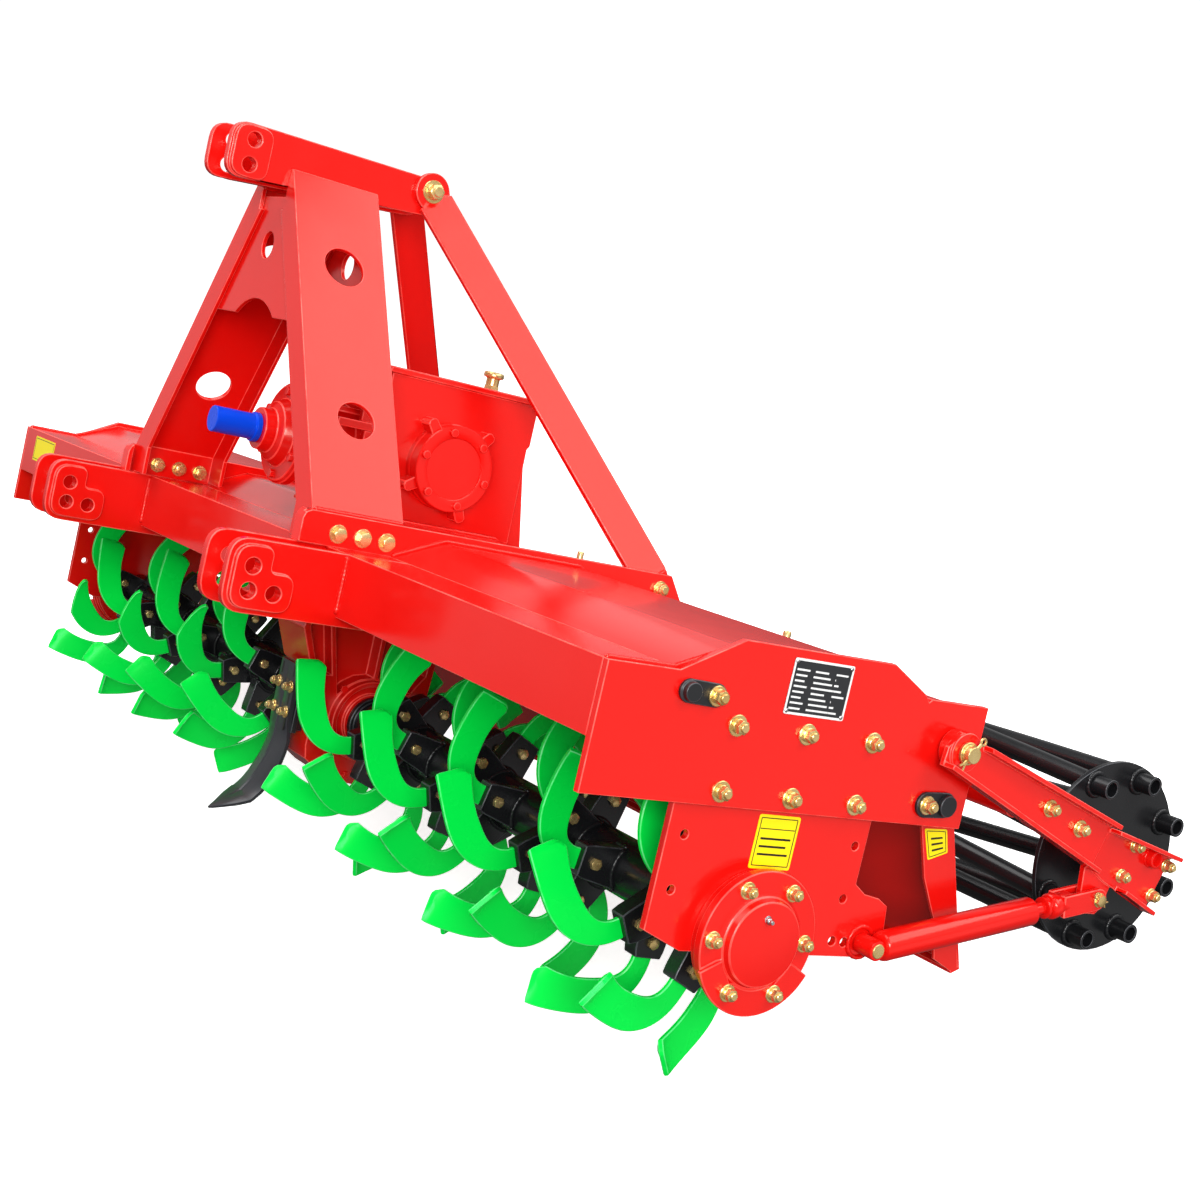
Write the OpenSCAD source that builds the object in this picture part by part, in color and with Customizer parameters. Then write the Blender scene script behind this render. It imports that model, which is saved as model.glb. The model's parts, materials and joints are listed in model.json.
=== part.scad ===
// Tractor-mounted rotavator with a spiral cage roller, parked on level
// ground on its tines and its roller. Millimetres, +Z up, +X to the
// machine's left, the tractor end towards -Y.
// Every piece is drawn in the machine's own frame, whose origin is on the
// rotor axis at mid width, and is then pitched to the parked attitude.

/* [Hood] */
// Half the width over the two end plates
half_w = 1250; // [1100:10:1400]
// Thickness of the end plates
end_t = 12; // [8:1:14]
// Thickness of the hood sheet
hood_t = 6; // [4:1:8]
// Height of the front beam
beam_h = 102; // [80:2:104]

/* [Rotor] */
// Radius over the blade tips
tip_r = 243; // [236:1:246]
// Radius of the rotor tube
tube_r = 44; // [38:1:48]
// Spacing of the groups of blade sockets along the rotor
group_pitch = 290; // [286:1:296]
// Turn from one group of sockets to the next, in degrees
group_turn = 6; // [0:0.5:12]
// Length of one group of sockets on the right half
group_pitch_right = 323; // [318:1:330]
// Turn from one group to the next on the right half
group_turn_right = 11; // [0:0.5:15]
// Groups of blade sockets on each half of the rotor
groups = 4; // [2:1:4]
// Width of a blade past its root
blade_w = 53; // [48:1:56]
// Thickness of a blade
blade_t = 8; // [6:1:10]

/* [Hitch] */
// Half the distance between the lower hitch centres
hitch_x = 454; // [450:1:458]
// Radius of the lower hitch bores
hitch_r = 12.7; // [11:0.1:14]
// Radius of the top link bores
top_r = 12.9; // [11:0.1:14]
// Height of the top link plates over the rotor axis
top_z = 912; // [900:1:912]

/* [Roller] */
// Distance of the roller axis behind the rotor axis
roller_y = 755; // [745:1:790]
// Height of the roller axis over the rotor axis
roller_z = 141; // [136:1:146]
// Radius of the roller's end discs
roller_r = 158; // [152:1:160]
// Number of roller bars
bars = 8; // [6:1:8]
// Twist of the bars from end to end, in degrees
bar_twist = 84; // [0:1:100]

/* [Hidden] */
$fn = 64;
red = [0.86, 0.03, 0.02];
green = [0.0, 0.66, 0.12];
black = [0.03, 0.03, 0.035];
steel = [0.10, 0.10, 0.11];
blue = [0.02, 0.22, 0.85];

module park() translate([0, back, lift]) rotate([-pitch, 0, 0]) children();

hw = half_w;
xi = hw - end_t;          // inner face of an end plate
hood_z = 388;             // top of the hood sheet
beam_y0 = -336; beam_y1 = -222; beam_z1 = 349; beam_z0 = beam_z1 - beam_h;
pin1 = [216, -4];         // strut's front pin
pin2 = [655, 93];         // strut's rod eye
arm_p = [288, 295];       // arm pivot
hinge_p = [302, 210];     // tailboard hinge
strut_x = hw + 15;
pto_z = 498;

// An outline given as [y, z], from x0 to x1.
module yz(x0, x1) translate([x0, 0, 0]) rotate([90, 0, 90]) linear_extrude(x1 - x0) children();
// An outline given as [x, z], from y0 to y1.
module xz(y0, y1) translate([0, y1, 0]) rotate([90, 0, 0]) linear_extrude(y1 - y0) children();
module cx(x0, x1, r, p = [0, 0]) translate([x0, p[0], p[1]]) rotate([0, 90, 0]) cylinder(r = r, h = x1 - x0);
module cy(y0, y1, r, p = [0, 0]) translate([p[0], y1, p[1]]) rotate([90, 0, 0]) cylinder(r = r, h = y1 - y0);
module box(a, b) translate(a) cube(b - a);
// Outline with its corners rounded; each corner is [a, b, length cut off].
function rounded(c) = let(n = len(c)) [for (i = [0:n - 1]) let(p = [c[i][0], c[i][1]], a = c[(i + n - 1) % n], b = c[(i + 1) % n], r = c[i][2],
  u = [a[0], a[1]] - p, v = [b[0], b[1]] - p) each r > 0 ? [for (k = [0:6]) p + u / norm(u) * r * pow(1 - k / 6, 2) + v / norm(v) * r * pow(k / 6, 2)] : [p]];
module side(s) if (s > 0) children(); else mirror([1, 0, 0]) children();

// ---------------------------------------------------------------- frame
module beam_part(x0, x1) difference() {
  box([x0, beam_y0, beam_z0], [x1, beam_y1, beam_z1]);
  box([x0 - 1, beam_y0 + 8, beam_z0 + 8], [x1 + 1, beam_y1 - 8, beam_z1 - 8]);
}
module front_beam() color(red) park() {
  beam_part(-hitch_x + 52.4, hitch_x - 52.4);
  for (s = [-1, 1]) side(s) {
    beam_part(hitch_x - 35.4, hitch_x + 36);
    beam_part(hitch_x + 52, xi);
  }
}

function hood_line(d) = [[beam_y1, beam_z1 - d], [-128, hood_z - d], [146, hood_z - d], [224, 348 - d], [347, 348 - d]];
module hood() color(red) park() difference() {
  yz(-xi, xi) polygon(concat(hood_line(0), [for (i = [4:-1:0]) hood_line(hood_t)[i]]));
  box([-124, -140, 300], [124, 205, 420]);
}

module rear_beam() color(red) park() difference() {
  box([-xi, 255, 268], [xi, 340, 341.5]);
  box([-xi - 1, 262, 275], [xi + 1, 333, 334.5]);
}

end_line = [[-336, 176], [347, 176], [347, 359], [232, 359], [226, 354], [216, 365], [146, 400], [-125, 400], [-222, 349], [-336, 349]];
module end_plate(s) color(red) park() side(s) difference() {
  yz(xi, hw) polygon(end_line);
  cx(xi - 1, hw + 1, 14.05, hinge_p);
  cx(xi - 1, hw + 1, 15, arm_p);
}

plate_line = [[-173.5, 318], [-173.5, -1], [-107, -27.5], [231, -27.5], [261, -2], [254, 50], [234, 61], [205, 66], [183, 80], [183, 318]];
plate_holes = [[-144, 132], [-145, 56], [163, 135], [164.5, 57.5]];
module bearing_plate(s) color(red) park() side(s) difference() {
  yz(xi - 12, xi) polygon(plate_line);
  cx(xi - 17, xi + 1, 32.05);
  for (h = plate_holes) cx(xi - 17, xi + 1, 6.5, h);
  for (h = [[163, -5], [186, -6]]) cx(xi - 17, xi + 1, 7, h);
}

module bearing_cover(s) color(red) park() side(s) difference() {
  union() {
    translate([xi, 0, 0]) rotate([0, 90, 0]) rotate_extrude()
      polygon([[0, 0], [92, 0], [92, 16], [99, 16], [99, 30], [72, 30], [64, 34], [60, 44], [34, 47], [0, 48]]);
    translate([xi + 30, 0, 0]) intersection() {
      rotate([0, 90, 0]) difference() { cylinder(r = 104, h = 7); translate([0, 0, -1]) cylinder(r = 66, h = 9); }
      yz(0, 7) polygon([[-104, -48], [-60, -26], [-38, -60], [38, -60], [60, -26], [104, -48], [104, -110], [-104, -110]]);
    }
  }
  cx(xi - 1, xi + 34, 40);
}

// Lower hitch: two ears with thickened pads, the tractor's link goes between.
ear_line = rounded([[-532, 232, 36], [-257, 232, 16], [-257, 349, 0], [-532, 349, 34]]);
pad_line = rounded([[-523, 241, 28], [-421, 241, 24], [-421, 301, 20], [-463, 301, 10], [-463, 340, 15], [-523, 340, 28]]);
hitch_holes = [[-494, 308], [-494, 269.5], [-452, 269.5]];
module lower_hitch(s) color(red) park() side(s) difference() {
  union() {
    yz(hitch_x + 36, hitch_x + 52) polygon(ear_line);
    yz(hitch_x + 52, hitch_x + 62) polygon(pad_line);
    yz(hitch_x - 52.4, hitch_x - 35.4) polygon(ear_line);
    yz(hitch_x - 62.4, hitch_x - 52.4) polygon(pad_line);
  }
  for (h = hitch_holes) cx(hitch_x - 70, hitch_x + 70, hitch_r, h);
}

// Base rail: a channel laid along the hood, its web outside the mast leg.
rail_line = [[-390, 349], [beam_y1, 349], [-128, hood_z], [146, hood_z], [224, 348], [347, 348], [392, 348], [352, 403], [-376, 403], [-386, 398], [-390, 388]];
module base_rail(s) color(red) park() side(s) {
  yz(418.6, 430.6) polygon(rail_line);
  yz(400.6, 418.6) polygon([[-390, 349], [-380, 349], [-380, 403], [-386, 398], [-390, 388]]);
}

// Mast leg: a channel, its web outward, leaning in to the top link plates.
function leg_x(z) = 93 + 0.651 * (905 - z);
module leg_web(d) polygon([[418.5, 349], [418.5, 405], [leg_x(951), 951], [leg_x(951) - d, 951], [418.5 - d, 405 - 0.0], [418.5 - d, 349]]);
module mast_leg(s) color(red) park() side(s) difference() {
  union() {
    xz(-372, -205) leg_web(10);
    xz(-372, -364) leg_web(66);
    xz(-213, -205) leg_web(66);
  }
  translate([321, -281, 553]) rotate([0, 57, 0]) translate([0, 0, -30]) cylinder(r = 34, h = 60);
  translate([leg_x(804), -284, 804]) rotate([0, 57, 0]) translate([0, 0, -30]) cylinder(r = 37, h = 60);
  box([0, -400, 880], [53, -190, 960]);
  box([340, -379, 345], [400, -363.9, 352]);
  yz(340, 430) polygon([[beam_y1 - 0.1, beam_z1 - 1], [beam_y1 - 0.1, beam_z1 + 0.1], [-128, hood_z + 0.1], [-128, beam_z1 - 1]]);
}

// Mast plates: one behind the legs' front flanges, one on their rear edges.
module mast_sheet(in) difference() {
  polygon([[-leg_x(690) + in, 692], [leg_x(690) - in, 692], [leg_x(904) - in, 904], [-leg_x(904) + in, 904]]);
  intersection() {
    translate([0, 584]) circle(r = 138);
    translate([-112, 680]) square([224, 100]);
  }
  translate([0, 818]) circle(r = 24);
}
module mast_plates() color(red) park() {
  xz(-363.9, -355.9) mast_sheet(12);
  xz(-204.9, -196.9) mast_sheet(20);
}

top_line = rounded([[-490, 910, 32], [-66, 943, 34], [-66, 1007, 28], [-490, 1007, 32]]);
top_pad = rounded([[-484, 915, 26], [-416, 915, 22], [-416, 1003, 22], [-484, 1003, 26]]);
top_holes = [[-450, 980], [-451, 937]];
module top_hitch() color(red) park() for (s = [-1, 1]) side(s) difference() {
  union() {
    yz(38, 53) polygon(top_line);
    yz(53, 61) polygon(top_pad);
  }
  for (h = top_holes) cx(30, 70, top_r, h);
}

// Brace: a flat bar from the top plates' rear to the base rail, its ends
// set flat against what they are bolted to.
brace_t = [59, -88, 967];
brace_f = [412.4, 318, 392];
brace_d = brace_t - brace_f;
brace_l = norm(brace_d);
module brace(s) color(red) park() side(s) difference() {
  union() {
    cx(53, 65, 34, [-100, 984]);
    translate(brace_f) rotate([atan2(-brace_d[1], brace_d[2]), 0, 0]) rotate([0, atan2(brace_d[0], norm([brace_d[1], brace_d[2]])), 0])
      box([-6, -34, 0], [6, 34, brace_l]);
    yz(406.4, 418.4) polygon([[345, 412], [290, 373], [304, 352], [366, 352], [372, 373]]);
  }
  cx(20, 90, 10.5, [-100, 984]);
  box([0, -200, 900], [52.9, 0, 1100]);
}

// ---------------------------------------------------------------- drive
module gearbox_housing() color(red) park() {
  yz(-112, 112) polygon([[-125, 382], [-125, 650], [192, 650], [192, 572], [186, 566], [150, 382]]);
  yz(-90, 90) polygon([[140, 382], [186, 566], [192, 566], [186, 382]]);
  box([-119, -133, 650], [119, 200, 661]);
}
module gearbox_side_covers() color(red) park() for (s = [-1, 1]) side(s)
  translate([112, 20, 502]) rotate([0, 90, 0]) rotate_extrude()
    polygon([[0, 0], [80, 0], [80, 34], [77.5, 37.5], [59, 37.5], [56, 34.5], [0, 34.5]]);
module pto_carrier() color(red) park() translate([0, -125, pto_z]) rotate([90, 0, 0]) rotate_extrude()
  polygon([[20.06, 0], [100, 0], [100, 14], [74, 26], [72, 108], [93, 116], [93, 132], [87, 138], [62, 140], [54, 158], [40, 164], [38, 186], [20.06, 186]]);
case_line = [[-136, 382], [-138, 340], [-167, 160], [-136, 87], [-113, 70], [-113, -60], [-108, -85], [-66, -114], [0, -100], [120, 60], [140, 382]];
case_pockets = [[[-127.5, 225], [-145, 205], [-153, 163], [-127, 97], [-103, 78], [-90, 78]],
  [[-133, 290], [-3, 290], [-3, 82], [-30, 76.5], [-53, 62.5], [-70.5, 43]],
  [[7, 290], [118, 290], [107, 98], [80, 60], [62, 54], [34, 75], [7, 82]]];
module drop_case() color(red) park() difference() {
  union() {
    yz(-62, 62) polygon(case_line);
    cx(-62, 62, 112, [8, -14]);
    cx(-80, 80, 78);
    yz(-100, 100) polygon([[-136, 381.9], [-139, 300], [140, 300], [140, 381.9]]);
  }
  for (s = [-1, 1]) side(s) {
    cx(40, 90, 32.05);
    for (p = case_pockets) yz(30, 63) polygon(p);
    difference() { cx(72, 81, 68); cx(71, 82, 54); }
  }
}
module tine_holder() color(black) park() {
  box([-41, -137.8, -44], [41, -127, 68]);
  box([-34, -127.2, -40], [34, -113.1, 60]);
}
// Centre tine: a curved bar with a spear point, bolted to its holder.
tine_side = [[-138, 84], [-150, 84], [-150, -62], [-158, -101], [-174, -139], [-192, -167], [-251, -206], [-242, -209], [-184, -184], [-162, -150], [-146, -108], [-138, -66]];
tine_face = [[-37, 84.1], [37, 84.1], [37, -28], [45, -100], [46, -152], [46, -180], [0, -210], [-46, -180], [-46, -152], [-45, -100], [-37, -28]];
module centre_tine() color(steel) park() intersection() {
  yz(-50, 50) polygon(tine_side);
  xz(-260, -130) polygon(tine_face);
}

// ---------------------------------------------------------------- hinges
module hinge_rod() color(black) park() cx(-hw - 4, hw + 4, 14, hinge_p);
module oblong(a, b, r) hull() { translate(a) circle(r = r, $fn = 32); translate(b) circle(r = r, $fn = 32); }
module keepers() color(black) park() for (s = [-1, 1]) side(s) {
  yz(hw + 0.2, hw + 6) oblong([-203, 324], [-158.5, 322.6], 16);
  difference() {
    yz(hw + 0.2, hw + 6) oblong([264, 208], hinge_p, 19);
    cx(hw, hw + 10, 14.05, hinge_p);
  }
  cx(hw + 6, hw + 15, 13, [-203, 324]);
  cx(hw + 6.1, hw + 13, 16, hinge_p);
}
module pivot_pins() color(steel) park() for (s = [-1, 1]) side(s) {
  cx(xi - 20, hw + 36, 14.95, arm_p);
  cx(hw + 36, hw + 39.5, 17, arm_p);
  cx(hw + 39.5, hw + 50, 12.5, arm_p);
}
module strut_pins() color(steel) park() for (s = [-1, 1]) side(s) {
  cx(xi + 0.2, strut_x + 15, 10.95, pin1);
}

// ---------------------------------------------------------------- rotor
// Sockets of a group: distance from the end plate, angle, and the way the
// blade bends (1 outward, -1 inward).
socket_set = [[60, 244.6, 1], [91, 148, -1], [120, 75, -1], [148, 312.5, 1], [156, 208.3, -1], [199, 266.5, -1], [238, 50, 1], [278, 173, 1]];
// The right half's groups are longer and turn further.
socket_set_right = [[60, 258, 1], [101, 158, -1], [134, 85, -1], [165, 322.5, 1], [183, 214.5, -1], [222, 276.5, -1], [265, 60, 1], [310, 183, 1]];
function sockets(set, len, turn) = [for (m = [0:groups - 1]) for (k = set) let(x = xi - k[0] - len * m) if (x > 118) [x, k[1] - turn * m, k[2]]];
function socket_list(s) = s > 0 ? sockets(socket_set, group_pitch, group_turn) : sockets(socket_set_right, group_pitch_right, group_turn_right);
root_r = 104;
module rotor_half(s) color(black) park() side(s) union() {
  cx(85, xi - 18, tube_r);
  cx(46, 86, 32);
  cx(xi - 19, xi + 26, 32);
  cx(86, 100, 52);
  for (k = socket_list(s)) translate([k[0], 0, 0]) rotate([k[1], 0, 0])
    yz(-15, 15) polygon([[34, -32], [92, -26], [root_r, -23], [root_r, 23], [92, 26], [34, 32]]);
}

// Blade: a flat sickle that leaves its socket along the radius, trails the
// rotation and leans sideways towards its tip. Local axes: x along the
// rotor, then radius and trail.
function bez(a, b, c, d, t) = a * pow(1 - t, 3) + 3 * b * t * pow(1 - t, 2) + 3 * c * t * t * (1 - t) + d * t * t * t;
function dbez(a, b, c, d, t) = 3 * (b - a) * pow(1 - t, 2) + 6 * (c - b) * t * (1 - t) + 3 * (d - c) * t * t;
function unit(v) = v / norm(v);
function sm(t, a, b) = let(u = min(1, max(0, (t - a) / (b - a)))) u * u * (3 - 2 * u);
b0 = [root_r + 0.05, 0]; b1 = [203, 0]; b2 = [175, 137];
b3 = [(tip_r - 16) * cos(40.8), (tip_r - 16) * sin(40.8)];
lean = 34;
blade_n = 9;
function ring(t) = let(
  c = bez(b0, b1, b2, b3, t), d = dbez(b0, b1, b2, b3, t), g = unit(d), k = blade_t / 2,
  w = (32.5 + (blade_w - 32.5) * sm(t, 0, 0.5) + 6 * sm(t, 0.6, 1)) / 2,
  W = [0, -g[1], g[0]], G = unit([1.4 * lean * pow(t, 0.4), d[0], d[1]]), K = cross(G, W), C = [lean * pow(t, 1.4), c[0], c[1]],
  e = t > 0.99 ? 4 : 0)
  [C + w * W + k * K - e * G, C - w * W + k * K, C - w * W - k * K, C + w * W - k * K - e * G];
blade_pts = [for (i = [0:blade_n]) for (v = ring(i / blade_n)) [v[0], i == 0 ? root_r + 0.05 : v[1], -v[2]]];
blade_faces = concat(
  [[0, 1, 2], [0, 2, 3]],
  [for (i = [0:blade_n - 1]) for (k = [0:3]) let(a = 4 * i + k, b = 4 * i + (k + 1) % 4) each [[a, a + 4, b], [b, a + 4, b + 4]]],
  [[4 * blade_n, 4 * blade_n + 2, 4 * blade_n + 1], [4 * blade_n, 4 * blade_n + 3, 4 * blade_n + 2]]);
// Parked attitude: one floor line touches the tip circle and the roller.
reach = max([for (p = blade_pts) norm([p[1], p[2]])]);
span = norm([roller_y, roller_z]);
pitch = atan2(roller_z, roller_y) + asin((reach - roller_r) / span);
lift = reach;
back = -246.6;
module blade() polyhedron(points = blade_pts, faces = blade_faces);
module blades(s) color(green) park() side(s) for (k = socket_list(s))
  translate([k[0], 0, 0]) rotate([k[1], 0, 0]) mirror([k[2] > 0 ? 0 : 1, 0, 0]) blade();

module pto_shaft() color(blue) park() {
  cy(-330, -200, 20, [0, pto_z]);
  cy(-322, -311.4, 27, [0, pto_z]);
  cy(-398, -321.9, 23.5, [0, pto_z]);
}

// ---------------------------------------------------------------- roller
arm_line = [[275, 323], [646, 217], [619, 139], [251, 272], [254, 300]];
module arm(s) color(red) park() side(s) difference() {
  union() {
    yz(hw + 22, hw + 30) polygon(arm_line);
    yz(hw + 22, hw + 50) polygon([[322, 309.5], [646, 217], [644, 210], [324, 301.5]]);
    yz(hw + 22, hw + 50) polygon([[251, 272], [619, 139], [621.5, 146], [253.5, 279]]);
    cx(hw + 6, hw + 34, 29, arm_p);
  }
  cx(hw, hw + 60, 15, arm_p);
}
bracket_line = [[430, 268], [646, 205], [819, 173], [782, 76], [665, 121], [619, 146], [420, 218]];
module bracket(s) color(red) park() side(s) difference() {
  union() {
    yz(hw + 12, hw + 21.9) polygon(bracket_line);
    yz(hw + 21.8, hw + 44) polygon([[653, 207], [819, 173], [817.5, 166], [653, 200]]);
    yz(hw + 21.8, hw + 44) polygon([[700, 107.5], [782, 76], [784.5, 82.5], [702, 114]]);
    // lug under the bracket for the strut's fork
    yz(strut_x - 6, strut_x + 3.9) polygon([[619, 146], [628, 78], [640, 66], [670, 66], [682, 78], [690, 112]]);
    cx(hw - 14, hw + 12.1, 44, [roller_y, roller_z]);
  }
  cx(hw - 20, hw + 17.5, 20.05, [roller_y, roller_z]);
  cx(strut_x - 30, strut_x + 30, 13, pin2);
}
module arm_cross_tube() color(red) park() difference() {
  cx(-hw - 12, hw + 12, 20, [440, 224]);
  cx(-hw - 13, hw + 13, 15, [440, 224]);
}

// Bars wind round the roller; each ring of points lies across the axis.
bar_c = 134; bar_r = 17; bar_n = 12; bar_k = 8; disc_x = 1187;
bar_pts = [for (i = [0:bar_n]) for (k = [0:bar_k - 1]) let(x = disc_x * (2 * i / bar_n - 1), a = bar_twist * (i / bar_n - 1))
  [x, bar_c * cos(a) + bar_r * cos(360 * k / bar_k), bar_c * sin(a) + bar_r * sin(360 * k / bar_k)]];
bar_faces = concat(
  [[for (k = [0:bar_k - 1]) k]],
  [for (i = [0:bar_n - 1]) for (k = [0:bar_k - 1]) let(a = bar_k * i + k, b = bar_k * i + (k + 1) % bar_k) each [[a, a + bar_k, b], [b, a + bar_k, b + bar_k]]],
  [[for (k = [bar_k - 1:-1:0]) bar_k * bar_n + k]]);
module at_roller() translate([0, roller_y, roller_z]) children();
module roller_bars() color(black) park() at_roller() for (k = [0:bars - 1]) rotate([30 + 360 / bars * k, 0, 0]) polyhedron(points = bar_pts, faces = bar_faces);
module roller_discs() color(black) park() at_roller() for (s = [-1, 1]) side(s) {
  cx(disc_x + 0.05, disc_x + 8, roller_r);
  cx(disc_x + 7.9, hw + 17, 20);
  for (k = [0:bars - 1]) rotate([30 + 360 / bars * k - (s > 0 ? 0 : bar_twist), 0, 0]) difference() {
    cx(disc_x + 7.9, disc_x + 43, 16, [bar_c, 0]);
    cx(disc_x + 20, disc_x + 44, 11.5, [bar_c, 0]);
  }
}

board_line = [[302, 229], [378, 176], [467, -50], [450, -58], [448, -52], [461, -46.5], [373, 173], [318, 211]];
flange_line = [[312, 170], [374, 172], [461.5, -48], [448, -54], [407, -36], [386, 25], [345, 88]];
module tailboard() color(red) park() difference() {
  union() {
    yz(-1210, 1210) polygon(board_line);
    yz(1204, 1210) polygon(flange_line);
    yz(-1210, -1204) polygon(flange_line);
    cx(-1210, 1210, 20, hinge_p);
  }
  cx(-1220, 1220, 14.05, hinge_p);
}

// Strut: a barrel on the bearing plate's pin, and a rod whose fork takes
// the lug under the bracket.
strut_a = atan2(pin2[1] - pin1[1], pin2[0] - pin1[0]);
strut_l = norm(pin2 - pin1);
module along_strut(s) park() side(s) translate([strut_x, pin1[0], pin1[1]]) rotate([strut_a, 0, 0]) children();
module strut_barrel(s) color(red) along_strut(s) difference() {
  union() {
    cx(-24, 13, 15);
    cy(13.5, 316, 22);
  }
  cx(-40, 40, 11);
  cy(60, 320, 10.05);
}
module strut_rod(s) color(red) along_strut(s) {
  cy(150, 350, 10);
  difference() {
    union() {
      cy(341, 372, 20);
      cy(371, 386, 17);
      box([-19, 384, -17], [17, strut_l, 17]);
      cx(-19, 17, 17, [strut_l, 0]);
    }
    box([-10.5, 398, -40], [8.5, strut_l + 40, 40]);
  }
  cx(-19.5, 24, 10, [strut_l, 0]);
}

front_beam();
hood();
rear_beam();
end_plate(1);  // end_plate_left
end_plate(-1);  // end_plate_right
bearing_plate(1);  // bearing_plate_left
bearing_plate(-1);  // bearing_plate_right
bearing_cover(1);  // bearing_cover_left
bearing_cover(-1);  // bearing_cover_right
lower_hitch(1);  // lower_hitch_left
lower_hitch(-1);  // lower_hitch_right
base_rail(1);  // base_rail_left
base_rail(-1);  // base_rail_right
mast_leg(1);  // mast_leg_left
mast_leg(-1);  // mast_leg_right
mast_plates();
top_hitch();
brace(1);  // brace_left
brace(-1);  // brace_right
gearbox_housing();
gearbox_side_covers();
pto_carrier();
drop_case();
tine_holder();
centre_tine();
hinge_rod();
keepers();
pivot_pins();
strut_pins();
rotor_half(1);  // rotor_left
rotor_half(-1);  // rotor_right
blades(1);  // blades_left
blades(-1);  // blades_right
pto_shaft();
arm(1);  // arm_left
arm(-1);  // arm_right
bracket(1);  // bracket_left
bracket(-1);  // bracket_right
arm_cross_tube();
roller_bars();
roller_discs();
tailboard();
strut_barrel(1);  // strut_barrel_left
strut_barrel(-1);  // strut_barrel_right
strut_rod(1);  // strut_rod_left
strut_rod(-1);  // strut_rod_right
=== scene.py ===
import json
import math

import bmesh
import bpy
import numpy as np
from mathutils import Matrix, Vector


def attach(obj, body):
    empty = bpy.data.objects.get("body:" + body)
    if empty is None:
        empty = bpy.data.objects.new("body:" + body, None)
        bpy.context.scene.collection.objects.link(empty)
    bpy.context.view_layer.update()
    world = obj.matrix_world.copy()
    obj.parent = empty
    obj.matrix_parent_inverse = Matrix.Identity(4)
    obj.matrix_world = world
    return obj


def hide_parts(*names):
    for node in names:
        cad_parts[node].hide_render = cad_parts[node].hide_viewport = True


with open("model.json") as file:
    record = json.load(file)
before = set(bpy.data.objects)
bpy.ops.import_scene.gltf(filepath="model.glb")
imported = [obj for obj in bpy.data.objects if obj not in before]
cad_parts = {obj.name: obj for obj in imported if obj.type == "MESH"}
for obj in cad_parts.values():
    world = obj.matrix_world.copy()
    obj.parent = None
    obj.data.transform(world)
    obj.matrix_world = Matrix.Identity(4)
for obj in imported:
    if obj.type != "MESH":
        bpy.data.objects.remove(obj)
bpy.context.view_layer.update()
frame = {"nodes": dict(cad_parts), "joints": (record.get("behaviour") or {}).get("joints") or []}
nodes = frame["nodes"]
joints = {j["name"]: j for j in frame["joints"]}

# ------------------------------------------------------------------ frames
# The machine's own frame (mm, origin on the rotor axis) is pitched to the
# parked attitude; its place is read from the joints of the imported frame.
ROTOR = Vector(joints["rotor_spin"]["pos_m"])
ROLLER = Vector(joints["roller_spin"]["pos_m"])
PITCH = math.atan2(141, 755) - math.atan2((ROLLER - ROTOR).z, (ROLLER - ROTOR).y)
TO_ROW = Matrix.Translation(ROTOR) @ Matrix.Rotation(-PITCH, 4, "X") @ Matrix.Scale(0.001, 4)
TURN = Matrix.Rotation(-PITCH, 3, "X")
HW, XI, STRUT_X = 1250.0, 1238.0, 1265.0
X, Y, Z = Vector((1, 0, 0)), Vector((0, 1, 0)), Vector((0, 0, 1))


# ------------------------------------------------------------------ materials
def new_mat(name):
    m = bpy.data.materials.new(name)
    m.use_nodes = True
    nt = m.node_tree
    nt.nodes.clear()
    out = nt.nodes.new("ShaderNodeOutputMaterial")
    b = nt.nodes.new("ShaderNodeBsdfPrincipled")
    nt.links.new(b.outputs["BSDF"], out.inputs["Surface"])
    return m, nt, b


def noise(nt, co, scale, detail=3.0, rough=0.55):
    n = nt.nodes.new("ShaderNodeTexNoise")
    n.inputs["Scale"].default_value = scale
    n.inputs["Detail"].default_value = detail
    n.inputs["Roughness"].default_value = rough
    nt.links.new(co, n.inputs["Vector"])
    return n.outputs["Fac"]


def ramp(nt, fac, lo, hi, a=0.35, b=0.65):
    r = nt.nodes.new("ShaderNodeValToRGB")
    r.color_ramp.elements[0].position = a
    r.color_ramp.elements[1].position = b
    r.color_ramp.elements[0].color = (*lo, 1)
    r.color_ramp.elements[1].color = (*hi, 1)
    nt.links.new(fac, r.inputs["Fac"])
    return r.outputs["Color"]


def span(nt, fac, f0, f1, t0, t1):
    m = nt.nodes.new("ShaderNodeMapRange")
    for k, v in zip(("From Min", "From Max", "To Min", "To Max"), (f0, f1, t0, t1)):
        m.inputs[k].default_value = v
    nt.links.new(fac, m.inputs["Value"])
    return m.outputs["Result"]


def mix(nt, fac, a, b):
    m = nt.nodes.new("ShaderNodeMix")
    m.data_type = "RGBA"
    if hasattr(fac, "is_linked"):
        nt.links.new(fac, m.inputs["Factor"])
    else:
        m.inputs["Factor"].default_value = fac
    ia = [s for s in m.inputs if s.name == "A" and s.type == "RGBA"][0]
    ib = [s for s in m.inputs if s.name == "B" and s.type == "RGBA"][0]
    for sock, val in ((ia, a), (ib, b)):
        if hasattr(val, "is_linked"):
            nt.links.new(val, sock)
        else:
            sock.default_value = (*val, 1)
    return [s for s in m.outputs if s.type == "RGBA"][0]


def bump(nt, bsdf, layers):
    """layers: (height socket, strength, distance in metres), from broad to fine."""
    last = None
    for h, s, d in layers:
        n = nt.nodes.new("ShaderNodeBump")
        n.inputs["Strength"].default_value = s
        n.inputs["Distance"].default_value = d
        nt.links.new(h, n.inputs["Height"])
        if last is not None:
            nt.links.new(last, n.inputs["Normal"])
        last = n.outputs["Normal"]
    nt.links.new(last, bsdf.inputs["Normal"])


def tex(nt):
    return nt.nodes.new("ShaderNodeTexCoord").outputs["Object"]


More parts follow.
